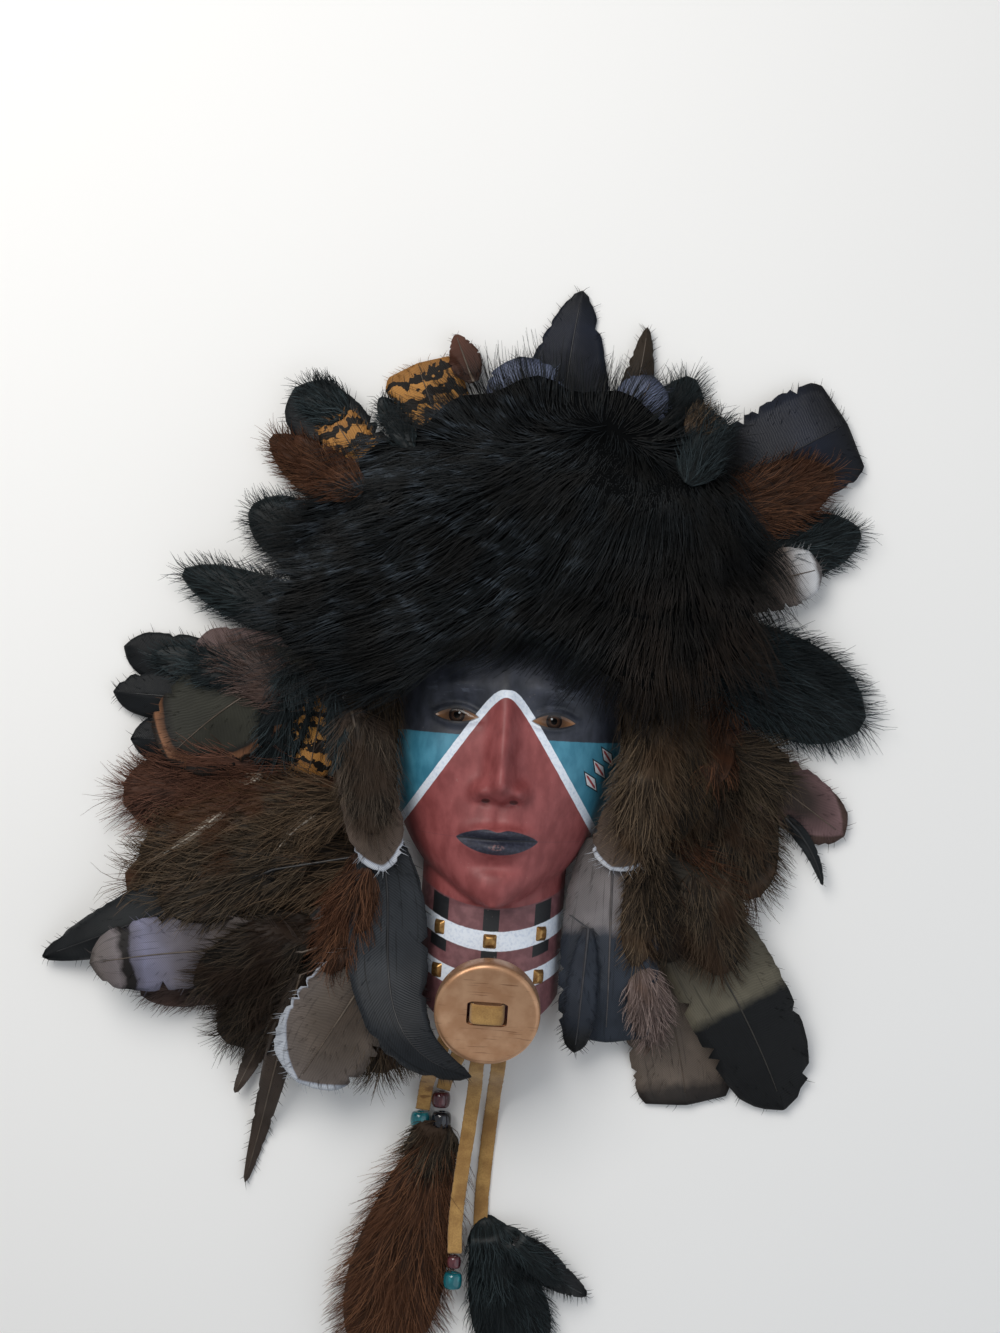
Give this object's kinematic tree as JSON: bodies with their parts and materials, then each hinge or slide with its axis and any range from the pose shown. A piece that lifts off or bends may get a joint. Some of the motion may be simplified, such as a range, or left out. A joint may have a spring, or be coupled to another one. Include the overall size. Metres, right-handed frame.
{
  "type": "feathered mask",
  "caption": "Painted ceramic face mask with a fur cap, a ring of feathers, a slotted throat disc, suede laces, beads and plumes.",
  "frame": {"origin": "on the ground under the middle of the mask's box, measured without the laces, beads and plumes", "axes": "the mask lies on its back: +Z out of the face, +Y to the top of the head, +X to the viewer's right"},
  "size_m": [0.387, 0.5183, 0.0791],
  "materials": {
    "painted_ceramic": "matt paint in red-brown, turquoise and blue-black zones with white stripes",
    "metallic_paint": "satin copper-gold paint",
    "suede_lace": "tan suede",
    "bead_teal": "clear teal, polished",
    "bead_purple": "clear purple-brown, polished",
    "bead_dark": "near black, polished",
    "black_fur": "long glossy black fur",
    "brown_down": "soft brown down",
    "maroon_down": "soft maroon-brown down",
    "black_down": "soft black down",
    "rust_feather": "rust barbs",
    "blue_black_feather": "sleek, with a cool sheen",
    "slate_feather": "sleek slate grey",
    "taupe_feather": "matt vane",
    "banded_feather": "banded vane with a pale lilac sheen",
    "mauve_feather": "matt vane",
    "copper_feather": "grey-brown vane with a copper rim",
    "gold_feather": "gold vane with black bars",
    "brown_feather": "matt vane",
    "fringed_feather": "matt vane with a white fringe at the tip",
    "black_feather": "black vane"
  },
  "bodies": {
    "root": {"bead_dark": "bead_dark", "bead_low_purple": "bead_purple", "bead_low_teal": "bead_teal", "bead_purple": "bead_purple", "bead_teal": "bead_teal", "down_black_curl_right": "black_down", "down_black_right": "black_down", "down_black_upper_left": "black_down", "down_brown_left": "brown_down", "down_brown_low": "brown_down", "down_brown_right": "brown_down", "down_dark_low": "brown_down", "down_dark_right": "rust_feather", "down_maroon_left": "maroon_down", "down_rust_left": "rust_feather", "down_rust_right": "rust_feather", "feather_banded": "banded_feather", "feather_black_below": "black_feather", "feather_black_lobe_high": "black_feather", "feather_black_lobe_low": "black_feather", "feather_black_narrow": "black_feather", "feather_black_round": "black_feather", "feather_black_spike_left": "black_feather", "feather_blue_left": "blue_black_feather", "feather_blue_right": "blue_black_feather", "feather_copper_rim": "copper_feather", "feather_crest_black": "blue_black_feather", "feather_crest_small": "brown_feather", "feather_fringe_cheek_left": "fringed_feather", "feather_fringe_cheek_right": "fringed_feather", "feather_fringe_low": "fringed_feather", "feather_gold_ear": "gold_feather", "feather_gold_high": "gold_feather", "feather_gold_low": "gold_feather", "feather_grey_mauve": "mauve_feather", "feather_large_blacktip": "brown_feather", "feather_mauve_round": "mauve_feather", "feather_rust_mid_left": "rust_feather", "feather_slate": "slate_feather", "feather_spike_long": "brown_feather", "feather_square_right": "blue_black_feather", "feather_taupe_navy": "taupe_feather", "feather_taupe_square": "taupe_feather", "feather_white_tip_right": "taupe_feather", "fur_cap": "black_fur", "fur_left": "brown_down", "fur_right": "brown_down", "lace_bridge": "suede_lace", "lace_fourth": "suede_lace", "lace_left": "suede_lace", "lace_second": "suede_lace", "lace_third": "suede_lace", "mask_shell": "painted_ceramic", "plume_black_left": "black_down", "plume_brown": "brown_down", "plume_dark": "black_down", "plume_spike": "black_feather", "throat_disc": "metallic_paint", "tuft_dark_top": "black_down"}
  },
  "joints": []
}
